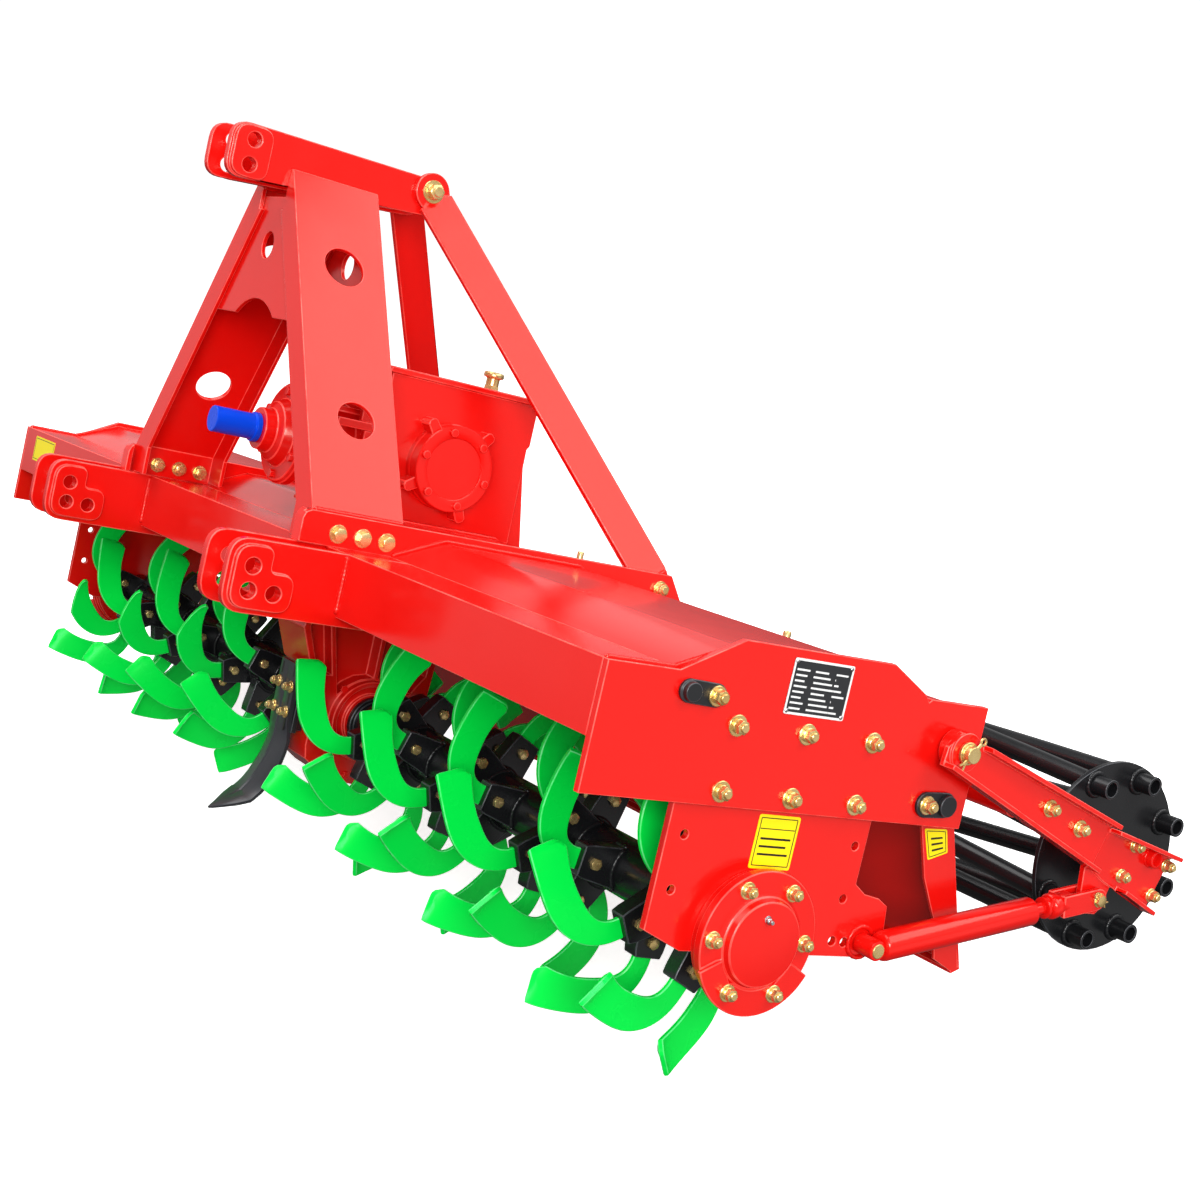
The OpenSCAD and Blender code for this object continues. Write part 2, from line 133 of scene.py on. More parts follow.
def facing_up(nt):
    g = nt.nodes.new("ShaderNodeNewGeometry")
    s = nt.nodes.new("ShaderNodeSeparateXYZ")
    nt.links.new(g.outputs["Normal"], s.inputs["Vector"])
    return s.outputs["Z"]


def times(nt, a, b):
    m = nt.nodes.new("ShaderNodeMath")
    m.operation = "MULTIPLY"
    nt.links.new(a, m.inputs[0])
    if hasattr(b, "is_linked"):
        nt.links.new(b, m.inputs[1])
    else:
        m.inputs[1].default_value = b
    return m.outputs["Value"]


def enamel(name, base, deep, rough=(0.24, 0.31), spec=0.4, tint=None, coat=0.0, coat_rough=0.1, peel=0.03, wave=0.012, dust=0.0):
    """Sprayed gloss enamel on steel: slow colour drift, orange peel, a breath
    of dust on what faces up."""
    m, nt, b = new_mat(name)
    co = tex(nt)
    drift = noise(nt, co, 2.1, 2.0)
    cloud = noise(nt, co, 13.0, 3.0)
    grain = noise(nt, co, 240.0, 2.0)
    col = ramp(nt, drift, deep, base, 0.30, 0.66)
    col = mix(nt, times(nt, span(nt, cloud, 0.50, 0.75, 0.0, 1.0), 0.12), col, deep)
    if dust:
        up = times(nt, span(nt, facing_up(nt), 0.55, 1.0, 0.0, 1.0), span(nt, cloud, 0.35, 0.7, 0.0, dust))
        col = mix(nt, up, col, (0.72, 0.66, 0.60))
    nt.links.new(col, b.inputs["Base Color"])
    nt.links.new(span(nt, cloud, 0.35, 0.68, rough[0], rough[1]), b.inputs["Roughness"])
    b.inputs["Specular IOR Level"].default_value = spec
    if tint:
        b.inputs["Specular Tint"].default_value = (*tint, 1)
    b.inputs["Coat Weight"].default_value = coat
    b.inputs["Coat Roughness"].default_value = coat_rough
    bump(nt, b, [(drift, wave, 0.02), (grain, peel, 0.0008)])
    return m


def painted_edge_highlight(name, base, pale, rough=0.3, spec=0.5):
    """Colour for the rounded edges: a paler tone that is a painted highlight along every edge, mottled by noise, with
    roughness that varies with it.
    """
    m, nt, b = new_mat(name)
    co = tex(nt)
    edge_mottle = noise(nt, co, 38.0, 4.0)
    col = ramp(nt, edge_mottle, base, pale, 0.34, 0.62)
    nt.links.new(col, b.inputs["Base Color"])
    nt.links.new(span(nt, edge_mottle, 0.3, 0.7, rough + 0.06, rough - 0.08), b.inputs["Roughness"])
    b.inputs["Specular IOR Level"].default_value = spec
    bump(nt, b, [(noise(nt, co, 240.0, 2.0), 0.04, 0.0008)])
    return m


def metal(name, light, dark, rough=(0.2, 0.34), brush=0.08, solid=1.0, grain=700.0):
    m, nt, b = new_mat(name)
    co = tex(nt)
    big = noise(nt, co, 35.0, 4.0)
    fine = noise(nt, co, grain, 3.0)
    col = ramp(nt, big, dark, light, 0.34, 0.64)
    nt.links.new(col, b.inputs["Base Color"])
    nt.links.new(span(nt, fine, 0.3, 0.7, rough[0], rough[1]), b.inputs["Roughness"])
    b.inputs["Metallic"].default_value = solid
    bump(nt, b, [(fine, brush, 0.0004)])
    return m


RED = enamel("red_enamel", (0.74, 0.0056, 0.0036), (0.71, 0.0046, 0.0030), rough=(0.15, 0.19), spec=0.45, tint=(1.0, 1.0, 0.86), peel=0.005, wave=0.005)
CAST = enamel("red_enamel_cast", (0.71, 0.0056, 0.0036), (0.67, 0.0044, 0.0028), rough=(0.20, 0.26), spec=0.45, tint=(1.0, 1.0, 0.86), peel=0.04, wave=0.008)
GREEN = enamel("green_enamel", (0.0010, 0.79, 0.066), (0.0008, 0.73, 0.055), rough=(0.22, 0.30), spec=0.35, tint=(0.25, 1.0, 0.40), peel=0.012, wave=0.006)
BLACK = enamel("black_enamel", (0.0090, 0.0094, 0.0108), (0.0065, 0.0068, 0.0076), rough=(0.22, 0.30), spec=0.36, peel=0.012, wave=0.006)
SATIN = enamel("black_satin", (0.0125, 0.0130, 0.0150), (0.0090, 0.0094, 0.0108), rough=(0.32, 0.42), spec=0.45)
FORGED = enamel("forged_steel", (0.030, 0.031, 0.037), (0.019, 0.020, 0.024), rough=(0.30, 0.42), spec=0.5, peel=0.15, wave=0.03)
ZINC = metal("yellow_zinc", (0.80, 0.60, 0.27), (0.66, 0.45, 0.16), rough=(0.24, 0.29), brush=0.01, solid=0.78, grain=160.0)
STEEL = metal("bare_steel", (0.62, 0.62, 0.62), (0.42, 0.42, 0.43))
BLUE = enamel("blue_cap", (0.0010, 0.060, 0.70), (0.0008, 0.048, 0.62), rough=(0.24, 0.32), spec=0.4, tint=(0.3, 0.6, 1.0), wave=0.01)
YELLOW = enamel("label_yellow", (0.93, 0.77, 0.004), (0.89, 0.72, 0.003), rough=(0.34, 0.42), spec=0.3, peel=0.02)
# the ink of the labels; it also draws the painted shade of the tine's slots
INK_AND_SLOT_SHADE = enamel("label_ink_and_slot_shade", (0.018, 0.016, 0.012), (0.012, 0.011, 0.009), rough=(0.35, 0.5), spec=0.3, peel=0.02)
PLATE = enamel("plate_black", (0.020, 0.021, 0.024), (0.014, 0.015, 0.017), rough=(0.28, 0.36), spec=0.5, peel=0.03)
RIM = enamel("plate_rim", (0.82, 0.82, 0.81), (0.74, 0.74, 0.73), rough=(0.28, 0.36), spec=0.4, peel=0.03)
# paler tones for the rounded edges of each finish: painted highlights along the edges
EDGE_HIGHLIGHT = {
    RED: painted_edge_highlight("red_edge", (0.93, 0.030, 0.022), (0.95, 0.120, 0.095)),
    CAST: painted_edge_highlight("red_edge_cast", (0.92, 0.026, 0.019), (0.95, 0.090, 0.070)),
    GREEN: painted_edge_highlight("green_edge", (0.010, 0.80, 0.100), (0.130, 0.92, 0.270)),
    BLACK: painted_edge_highlight("black_edge", (0.018, 0.019, 0.022), (0.055, 0.058, 0.066)),
    SATIN: painted_edge_highlight("satin_edge", (0.022, 0.023, 0.026), (0.060, 0.063, 0.072)),
    FORGED: painted_edge_highlight("forged_edge", (0.045, 0.046, 0.054), (0.110, 0.112, 0.125)),
}


# ------------------------------------------------------------------ mesh tools
class Shape:
    def __init__(self):
        self.v, self.f = [], []

    def add(self, verts, faces):
        o = len(self.v)
        self.v += [tuple(float(c) for c in p) for p in verts]
        self.f += [tuple(i + o for i in q) for q in faces]


def basis(axis):
    w = Vector(axis).normalized()
    ref = Z if abs(w.z) < 0.9 else X
    u = ref.cross(w).normalized()
    return u, w.cross(u), w


def rings(S, loops, closed=False, cap0=True, cap1=True):
    """Skin between loops of equal length; a loop of one point is a pole."""
    verts, idx = [], []
    for lp in loops:
        idx.append(list(range(len(verts), len(verts) + len(lp))))
        verts += lp
    faces = []
    pairs = list(zip(idx[:-1], idx[1:])) + ([(idx[-1], idx[0])] if closed else [])
    for a, b in pairs:
        n = max(len(a), len(b))
        for k in range(n):
            q = [a[k % len(a)], a[(k + 1) % len(a)], b[(k + 1) % len(b)], b[k % len(b)]]
            q = [i for j, i in enumerate(q) if i not in q[:j]]
            if len(q) > 2:
                faces.append(tuple(q))
    if not closed:
        if cap0 and len(idx[0]) > 2:
            faces.append(tuple(idx[0]))
        if cap1 and len(idx[-1]) > 2:
            faces.append(tuple(reversed(idx[-1])))
    S.add(verts, faces)


def lathe(S, p, axis, prof, n=36, closed=False):
    u, v, w = basis(axis)
    p = Vector(p)
    loops = []
    for r, h in prof:
        if r < 1e-6:
            loops.append([p + w * h])
        else:
            loops.append([p + w * h + r * (math.cos(t) * u + math.sin(t) * v) for t in (2 * math.pi * k / n for k in range(n))])
    rings(S, loops, closed=closed)


def hexa(S, p, axis, af, h, turn=0.0, bore=0.0):
    """Hexagon with its corners turned off by a cone, as on a bolt head."""
    u, v, w = basis(axis)
    p = Vector(p)
    ri, rc, n = af / 2, af / 2 * 0.94, 36
    low, side, top = [], [], []
    for k in range(n):
        t = 2 * math.pi * k / n
        r = ri / math.cos((t % (math.pi / 3)) - math.pi / 6)
        d = math.cos(t + turn) * u + math.sin(t + turn) * v
        low.append(p + r * d)
        side.append(p + r * d + w * (h - (r - rc) * 0.55))
        top.append(p + rc * d + w * h)
    rings(S, [low, side, top, [p + w * h]], cap0=True)


def washer(S, p, axis, ro, t, ri=4.0):
    lathe(S, p, axis, [(ri, 0), (ro, 0), (ro, t * 0.65), (ro - t * 0.35, t), (ri, t)], 36, closed=True)


def bolt(S, p, axis, af=18.0, wr=15.0, kind="nut", turn=0.3, head=None):
    """Washer, spring washer, hexagon and, on a nut, the bolt's end."""
    a = Vector(axis).normalized()
    p = Vector(p)
    h = 0.0
    if wr:
        washer(S, p, a, wr, 2.4)
        h = 2.4
        if kind == "nut":
            washer(S, p + a * h, a, af * 0.58, 3.4)
            h += 3.4
    hh = head or af * 0.5
    hexa(S, p + a * h, a, af, hh, turn)
    h += hh
    if kind == "nut":
        r = af * 0.36
        lathe(S, p + a * (h - 1), a, [(0, 0), (r, 0), (r, 4.0), (r - 1.0, 5.0), (0, 5.0)], 24)


def tube(S, pts, r, n=10, radii=None):
    pts = [Vector(q) for q in pts]
    loops = []
    t0 = (pts[1] - pts[0]).normalized()
    u, v, _ = basis(t0)
    for i, q in enumerate(pts):
        t = (pts[min(i + 1, len(pts) - 1)] - pts[max(i - 1, 0)]).normalized()
        u = (u - t * u.dot(t)).normalized()
        v = t.cross(u)
        rr = radii[i] if radii else r
        loops.append([q + rr * (math.cos(a) * u + math.sin(a) * v) for a in (2 * math.pi * k / n for k in range(n))])
    rings(S, loops)


def resample(pts, step):
    pts = [Vector(q) for q in pts]
    out = []
    for a, b in zip(pts[:-1], pts[1:]):
        m = max(1, int(round((b - a).length / step)))
        out += [a.lerp(b, k / m) for k in range(m)]
    return out + [pts[-1]]


def weld(S, pts, r=4.0, pitch=7.0, n=8):
    """A bead laid along a line, with the ripples of the run."""
    line = resample(pts, pitch / 4)
    radii = []
    for i in range(len(line)):
        s = i * 0.25
        end = min(1.0, 0.35 + 0.35 * min(i, len(line) - 1 - i))
        radii.append(r * end * (0.93 + 0.10 * (1 - abs(math.sin(math.pi * s))) + 0.05 * math.sin(1.7 * s + 0.6 * math.sin(0.31 * s))))
    tube(S, line, r, n, radii)


def prism(S, outline, x0, x1, plane="yz"):
    def at(q, h):
        return Vector((h, q[0], q[1])) if plane == "yz" else (Vector((q[0], h, q[1])) if plane == "xz" else Vector((q[0], q[1], h)))
    rings(S, [[at(q, x0) for q in outline], [at(q, x1) for q in outline]])


def mirrored(S):
    T = Shape()
    T.v = [(-a, b, c) for a, b, c in S.v]
    T.f = [tuple(reversed(q)) for q in S.f]
    return T


def both(S):
    T = Shape()
    T.add(S.v, S.f)
    M = mirrored(S)
    T.add(M.v, M.f)
    return T


def make(name, S, body, mat, bevel=0.0, seg=2, angle=38, rim=None, replaces=()):
    me = bpy.data.meshes.new(name)
    me.from_pydata(S.v, [], S.f)
    if rim:
        me.polygons.foreach_set("material_index", rim)
    bm = bmesh.new()
    bm.from_mesh(me)
    bmesh.ops.recalc_face_normals(bm, faces=bm.faces)
    bm.to_mesh(me)
    bm.free()
    me.transform(TO_ROW)
    me.materials.append(mat)
    if mat in EDGE_HIGHLIGHT:
        me.materials.append(EDGE_HIGHLIGHT[mat])
    me.shade_smooth()
    me.set_sharp_from_angle(angle=math.radians(angle))
    o = bpy.data.objects.new(name, me)
    bpy.context.scene.collection.objects.link(o)
    if bevel:
        edge_round(o, bevel, seg)
    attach(o, body)
    if replaces:
        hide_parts(*replaces)
    return o


def edge_round(o, width, seg=2, angle=32, clamp=True):
    b = o.modifiers.new("edges", "BEVEL")
    b.width = width * 0.001
    b.segments = seg
    b.limit_method = "ANGLE"
    b.angle_limit = math.radians(angle)
    b.use_clamp_overlap = clamp
    b.loop_slide = False
    b.miter_outer = "MITER_SHARP"
    # the faces made by the bevel take the second material, the painted edge highlight
    if len(o.data.materials) > 1:
        b.material = 1
    w = o.modifiers.new("normals", "WEIGHTED_NORMAL")
    w.keep_sharp = False
    w.weight = 60


def dress(name, mat, width=1.5, seg=2, angle=32, flats=True):
    """A CAD node as it is, with its edges broken and its finish on."""
    o = nodes[name]
    o.data.materials.clear()
    o.data.materials.append(mat)
    if mat in EDGE_HIGHLIGHT:
        o.data.materials.append(EDGE_HIGHLIGHT[mat])
    o.data.shade_smooth()
    w = o.modifiers.new("join", "WELD")
    w.merge_threshold = 4e-6
    if flats:
        d = o.modifiers.new("flats", "DECIMATE")
        d.decimate_type = "DISSOLVE"
        d.angle_limit = math.radians(0.35)
    edge_round(o, width, seg, angle, clamp=False)
    return o


def pair(stem):
    return [stem + "_left", stem + "_right"]


# ------------------------------------------------------------------ CAD nodes
for n in ["front_beam", "rear_beam", "arm_cross_tube"] + pair("base_rail"):
    dress(n, RED, 1.5)
for n in ["mast_plates"] + pair("mast_leg") + pair("arm") + pair("bracket") + pair("end_plate") + pair("bearing_plate"):
    dress(n, RED, 1.3, flats=False)
for n in ["hood", "tailboard"]:
    dress(n, RED, 1.0)
for n in pair("lower_hitch") + ["top_hitch"] + pair("brace"):
    dress(n, RED, 1.8, 3, flats=False)
for n in pair("bearing_cover") + ["pto_carrier"]:
    dress(n, CAST, 1.8, 3)
dress("drop_case", CAST, 2.0, 3, flats=False)
for n in ["hinge_rod", "keepers"]:
    dress(n, SATIN, 1.4)
dress("tine_holder", SATIN, 1.6)
dress("roller_discs", BLACK, 1.0)
for n in pair("rotor"):
    dress(n, BLACK, 2.0)
for n in ["pivot_pins", "strut_pins"]:
    dress(n, ZINC, 1.5)
dress("pto_shaft", BLUE, 1.6, 3)

# ------------------------------------------------------------------ blades
GROUPS = {
    1: (290, 6, [(60, 244.6, 1), (91, 148, -1), (120, 75, -1), (148, 312.5, 1), (156, 208.3, -1), (199, 266.5, -1), (238, 50, 1), (278, 173, 1)]),
    -1: (323, 11, [(60, 258, 1), (101, 158, -1), (134, 85, -1), (165, 322.5, 1), (183, 214.5, -1), (222, 276.5, -1), (265, 60, 1), (310, 183, 1)]),
}
SOCKETS = {1: [], -1: []}
for sign, (length, turn, group) in GROUPS.items():
    for m in range(4):
        for i, (d, a, s) in enumerate(group):
            if XI - d - length * m > 118:
                SOCKETS[sign].append((XI - d - length * m, math.radians(a - turn * m), s, i))


def smooth(t, a, b):
    u = np.clip((t - a) / (b - a), 0, 1)
    return u * u * (3 - 2 * u)


B0, B1, B2 = np.array([104.1, 0.0]), np.array([203.0, 0.0]), np.array([175.0, 137.0])
B3 = 227 * np.array([math.cos(math.radians(40.8)), math.sin(math.radians(40.8))])


def bend(t):
    """Centre line of a blade (x along the rotor, radius, trail), across it,
    out of its flat, along it, and half its width."""
    T = t[:, None]
    c = B0 * (1 - T) ** 3 + 3 * B1 * T * (1 - T) ** 2 + 3 * B2 * T * T * (1 - T) + B3 * T ** 3
    d = 3 * (B1 - B0) * (1 - T) ** 2 + 6 * (B2 - B1) * T * (1 - T) + 3 * (B3 - B2) * T * T
    g = d / np.linalg.norm(d, axis=1)[:, None]
    w = (32.5 + (53 - 32.5) * smooth(t, 0, 0.5) + 6 * smooth(t, 0.6, 1)) / 2
    C = np.c_[34 * t ** 1.4, c]
    W = np.c_[np.zeros(len(t)), -g[:, 1], g[:, 0]]
    G = np.c_[1.4 * 34 * t ** 0.4, d]
    G /= np.linalg.norm(G, axis=1)[:, None]
    return C, W, np.cross(G, W), G, w


def blade_mesh(slant):
    """One blade as a closed skin; slant is how far its outer corner is cut back."""
    n = 34
    s = np.array([-1.0, -0.8, -0.45, 0.0, 0.3, 0.5, 0.7, 0.88, 1.0])
    m = len(s)
    fine = np.linspace(0, 1, 400)
    run = np.r_[0, np.cumsum(np.linalg.norm(np.diff(bend(fine)[0], axis=0), axis=1))]
    if slant:
        short = np.interp(s, [-1, 0.75, 1], [slant, 0, 4])
        ext = np.interp(s, [-1, 0.75, 1], [0, 10, 4])
    else:
        short = np.zeros(m)
        ext = np.interp(s, [-1, -0.8, 0.3, 0.5, 0.7, 1], [-1, 1.5, 9, 9.5, 7, -4])
    P, K = np.zeros((n, m, 3)), np.zeros((n, m, 3))
    W, G = np.zeros((n, m, 3)), np.zeros((n, m, 3))
    for j in range(m):
        t = np.interp(np.linspace(0, 1, n) * (run[-1] - short[j]), run, fine)
        C, W[:, j], K[:, j], G[:, j], w = bend(t)
        tip = np.clip((np.linspace(0, 1, n) - 0.72) / 0.28, 0, 1) ** 1.5
        P[:, j] = C + (s[j] * w)[:, None] * W[:, j] + (ext[j] * tip)[:, None] * G[:, j]
    k, e = 4.0, 1.5
    top, bot = P.copy(), P.copy()
    for j, sgn in ((0, 1), (m - 1, -1)):
        top[:, j] += sgn * e * W[:, j]
        bot[:, j] += sgn * e * W[:, j]
    top[-1] -= e * G[-1]
    bot[-1] -= e * G[-1]
    top += k * K
    bot -= k * K
    edge = [(i, 0) for i in range(n)] + [(n - 1, j) for j in range(1, m)] + [(i, m - 1) for i in range(n - 2, -1, -1)] + [(0, j) for j in range(m - 2, 0, -1)]
    up = np.array([P[i, j] + (k - e) * K[i, j] for i, j in edge])
    dn = np.array([P[i, j] - (k - e) * K[i, j] for i, j in edge])
    V = np.concatenate([top.reshape(-1, 3), bot.reshape(-1, 3), up, dn])
    F, kind = [], []
    nb, o1 = len(edge), n * m
    for i in range(n - 1):
        for j in range(m - 1):
            a = i * m + j
            F.append((a, a + 1, a + m + 1, a + m))
            F.append((o1 + a, o1 + a + m, o1 + a + m + 1, o1 + a + 1))
            kind += [0, 0]
    for q in range(nb):
        r = (q + 1) % nb
        a, b = edge[q][0] * m + edge[q][1], edge[r][0] * m + edge[r][1]
        u0, u1, d0, d1 = 2 * o1 + q, 2 * o1 + r, 2 * o1 + nb + q, 2 * o1 + nb + r
        # the chamfer faces along the blade's rim are marked 1 and take the painted edge highlight
        F += [(a, b, u1, u0), (u0, u1, d1, d0), (d0, d1, o1 + b, o1 + a)]
        kind += [1, 0, 1]
    return V, F, kind


BLADE, HOOKED = blade_mesh(0), blade_mesh(66)


def put_blades(sign):
    S, kinds = Shape(), []
    for x, a, s, i in SOCKETS[sign]:
        V, F, kind = HOOKED if sign < 0 and i == 4 else BLADE
        y = V[:, 1] * math.cos(a) + V[:, 2] * math.sin(a)
        z = V[:, 1] * math.sin(a) - V[:, 2] * math.cos(a)
        S.add(np.c_[sign * (x + s * V[:, 0]), y, z], F)
        kinds += kind
    return S, kinds


for sign, nm in ((1, "left"), (-1, "right")):
    S, kinds = put_blades(sign)
    make("sickle_blades_" + nm, S, "rotor", GREEN, angle=30, rim=kinds, replaces=["blades_" + nm])

# ------------------------------------------------------------------ rotor fittings
fit, beads = Shape(), Shape()
for sign in (1, -1):
    for x, a, s, i in SOCKETS[sign]:
        rad = Vector((0, math.cos(a), math.sin(a)))
        c = Vector((sign * x, 0, 0)) + rad * 80
        bolt(fit, c + X * 15, X, af=16, wr=0, kind="head", turn=a, head=7)
        bolt(fit, c - X * 15, -X, af=16, wr=11, kind="nut", turn=a)
        for sx in (-1, 1):
            arc = [Vector((sign * x + sx * 15.5, 46 * math.cos(a + q), 46 * math.sin(a + q))) for q in np.linspace(-0.74, 0.74, 13)]
            weld(beads, arc, 4.2, 6.5)
        for q in (-0.80, 0.80):
            weld(beads, [Vector((sign * x - 15, 45.5 * math.cos(a + q), 45.5 * math.sin(a + q))), Vector((sign * x + 15, 45.5 * math.cos(a + q), 45.5 * math.sin(a + q)))], 4.0, 6.5)
make("socket_bolts", fit, "rotor", ZINC)
make("socket_welds", beads, "rotor", BLACK, angle=60)

# ------------------------------------------------------------------ roller
S = Shape()
steps = 72
for k in range(8):
    base = math.radians(30 + 45 * k)
    loops = []
    for i in range(steps + 1):
        xx = 1187 * (2 * i / steps - 1)
        a = base + math.radians(84) * (i / steps - 1)
        cy, cz = 755 + 134 * math.cos(a), 141 + 134 * math.sin(a)
        loops.append([Vector((xx, cy + 17 * math.cos(t), cz + 17 * math.sin(t))) for t in (2 * math.pi * q / 20 for q in range(20))])
    rings(S, loops)
make("roller_tubes", S, "roller", BLACK, angle=50, replaces=["roller_bars"])
S = Shape()
for sx in (1, -1):
    for k in range(8):
        a = math.radians(30 + 45 * k - (0 if sx > 0 else 84))
        c = Vector((0, 755 + 134 * math.cos(a), 141 + 134 * math.sin(a)))
        for xx, r in ((1195.5, 18.5), (1186.5, 19.0)):
            ring = [c + Vector((sx * xx, r * math.cos(t), r * math.sin(t))) for t in np.linspace(0, 2 * math.pi, 41)]
            weld(S, ring, 4.6, 6.5)
    hub = [Vector((sx * 1196, 755 + 23 * math.cos(t), 141 + 23 * math.sin(t))) for t in np.linspace(0, 2 * math.pi, 49)]
    weld(S, hub, 5.0, 7)
make("roller_welds", S, "roller", BLACK, angle=60)

# ------------------------------------------------------------------ bolts on the frame
S = Shape()
for y, z in ((-109, 286.5), (14, 286.5), (137, 286.5), (-111, 196.5), (12, 196.5), (131, 196.5)):
    bolt(S, (HW, y, z), X, af=17.5, wr=15.0, turn=0.2 + 0.013 * y)
    bolt(S, (XI - 12, y, z), -X, af=19.5, wr=0, kind="head", turn=0.1)
for y, z in ((-158.5, 322.6), (264, 208)):
    bolt(S, (HW + 6, y, z), X, af=17.5, wr=14.0, turn=0.4)
for k in range(6):
    a = math.radians(60 * k)
    bolt(S, (XI + (37 if k in (4, 5) else 30), 81 * math.cos(a), 81 * math.sin(a)), X, af=15.5, wr=12.5, turn=a)
for y in (-324, -279, -235):
    bolt(S, (430.6, y, 371), X, af=20, wr=15.5, kind="head", turn=0.01 * y)
    bolt(S, (408.5, y, 371), -X, af=19.5, wr=14.5, kind="nut", turn=0.01 * y)
bolt(S, (430.6, 330, 376), X, af=19.5, wr=14.5, kind="nut", turn=0.4)
bolt(S, (406.4, 330, 376), -X, af=19.5, wr=14.5, kind="head", turn=0.4)
bolt(S, (65, -100, 984), X, af=25, wr=21, kind="nut", turn=0.2)
bolt(S, (38, -100, 984), -X, af=27, wr=21, kind="head", turn=0.2)
for xx, h in ((500, 0), (940, 0)):
    bolt(S, (xx, 330, 348), Z, af=17, wr=13, kind="nut", turn=0.5)
lathe(S, (800, 330, 348), Z, [(0, 0), (12, 0), (12, 3), (7, 3), (7, 26), (5.5, 28), (0, 28)], 24)
hexa(S, (800, 330, 351), Z, 17, 9)
lathe(S, (400, 165, 388), Z, [(0, 0), (11, 0), (11, 3), (6, 3), (6, 24), (4.8, 26), (0, 26)], 24)
hexa(S, (400, 165, 391), Z, 16, 8)
make("frame_bolts", both(S), "frame", ZINC)

# ------------------------------------------------------------------ centre tine
# Stations down the tine: foremost line [y, z], half width, how far its edges
# stand back, thickness.
stations = [(-150, 84, 37, 0, 11.5), (-150, 60, 37, 0, 11.5), (-150, 20, 37, 0, 11.5), (-150, -14, 37, 0, 11.5), (-150, -30, 37.5, 1, 11.5), (-150, -46, 40, 4, 11.5), (-150.5, -62, 42, 6.5, 11.5),
            (-153.5, -80, 44, 7, 11.5), (-158, -101, 45, 7, 11.5), (-165, -119, 45.5, 7, 11.5), (-174, -139, 46, 7, 11), (-182.5, -154, 46, 6.5, 11), (-193, -168, 46, 5, 10), (-196, -170.5, 47.5, 4.5, 10),
            (-214, -182, 36, 3.5, 9), (-232, -194, 19, 2, 7), (-246, -203, 6, 1, 5), (-251, -206.5, 1.5, 0.5, 3)]
S = Shape()
loops = []
cut_at = np.array([-1, -0.86, -0.5, -0.12, -0.05, 0.05, 0.12, 0.5, 0.86, 1])
for i, (y, z, w, sb, th) in enumerate(stations):
    a, b = stations[max(0, i - 1)], stations[min(len(stations) - 1, i + 1)]
    t = Vector((0, b[0] - a[0], b[1] - a[1])).normalized()
    n = Vector((0, t.z, -t.y))
    if n.y > 0:
        n = -n
    o = Vector((0, y, z))
    groove = 0.0 if i < 2 or i > 13 else 2.2
    front = []
    for q in cut_at:
        back = sb * abs(q) ** 1.3 + (1.6 if abs(q) > 0.99 else 0) + (groove if abs(q) < 0.06 else 0)
        front.append(o + X * (w * q) - n * back)
    rear = [o + X * (w * q) - n * (sb * 0.6 * abs(q) + th) for q in (0.97, 0.5, 0, -0.5, -0.97)]
    loops.append(front + rear)
rings(S, loops)
make("tine_blade", S, "frame", FORGED, angle=24, replaces=["centre_tine"])

S = Shape()
for sx in (-27, 27):
    for z in (40, -8):
        bolt(S, (sx, -150, z), -Y, af=15, wr=11.5, kind="nut", turn=0.3)
make("tine_bolts", S, "frame", ZINC)
S = Shape()
# flat black sheets on the tine's face: painted shade standing for the dark inside of its slots
for xx, z in ((-23, 68), (27, 70), (27, 17), (31, -31)):
    loop = [(xx + 2.6 * math.cos(t), z + (9 if math.sin(t) > 0 else -9) + 2.6 * math.sin(t)) for t in np.linspace(0.01, 2 * math.pi - 0.35, 18)]
    rings(S, [[Vector((q[0], y, q[1])) for q in loop] for y in (-149.5, -150.3)])
make("tine_slot_shade", S, "frame", INK_AND_SLOT_SHADE)

# ------------------------------------------------------------------ bolts and pins on the arms
S = Shape()
for y, z in ((494, 228), (571, 202)):
    bolt(S, (HW + 30, y, z), X, af=17, wr=14.0, turn=0.3)
for y, z in ((720, 182), (808, 154), (704, 132), (788, 104)):
    bolt(S, (HW + 21.9, y, z), X, af=16, wr=11.5, kind="nut", turn=0.5)
make("arm_bolts", both(S), "roller_arms", ZINC)


def cotter(S, c, d, length, r=2.4):
    """Split pin: two legs through the hole, an eye at one end, spread tails."""
    c, d = Vector(c), Vector(d).normalized()
    n = X.cross(d).normalized()
    for sg in (-1, 1):
        tube(S, [c - d * length * 0.42 + n * sg * 1.2, c + n * sg * 1.0, c + d * length * 0.38 + n * sg * 1.4, c + d * length * 0.52 + n * sg * 5.0], r * 0.8, 8)
    eye = [c - d * (length * 0.42 + 5 - 5 * math.cos(t)) + n * 5 * math.sin(t) for t in np.linspace(0, 2 * math.pi, 17)]
    tube(S, eye, r * 0.8, 8)


S = Shape()
a = Vector((HW + 44.5, 288, 295))
cotter(S, a, (0, -0.62, -0.78), 50)
make("pivot_cotters", both(S), "frame", ZINC)

# ------------------------------------------------------------------ struts
SA = math.atan2(97, 439)
SL = math.hypot(97, 439)
U, V = Vector((0, math.cos(SA), math.sin(SA))), Vector((0, -math.sin(SA), math.cos(SA)))
FOOT = Vector((STRUT_X, 216, -4))


def round_end(l0, l1, h):
    """Outline of a cheek from l0 to a half-round end about l1, half height h."""
    out = [(l0, -h)]
    out += [(l1 + h * math.sin(t), -h * math.cos(t)) for t in np.linspace(0, math.pi, 19)]
    return out + [(l0, h)]


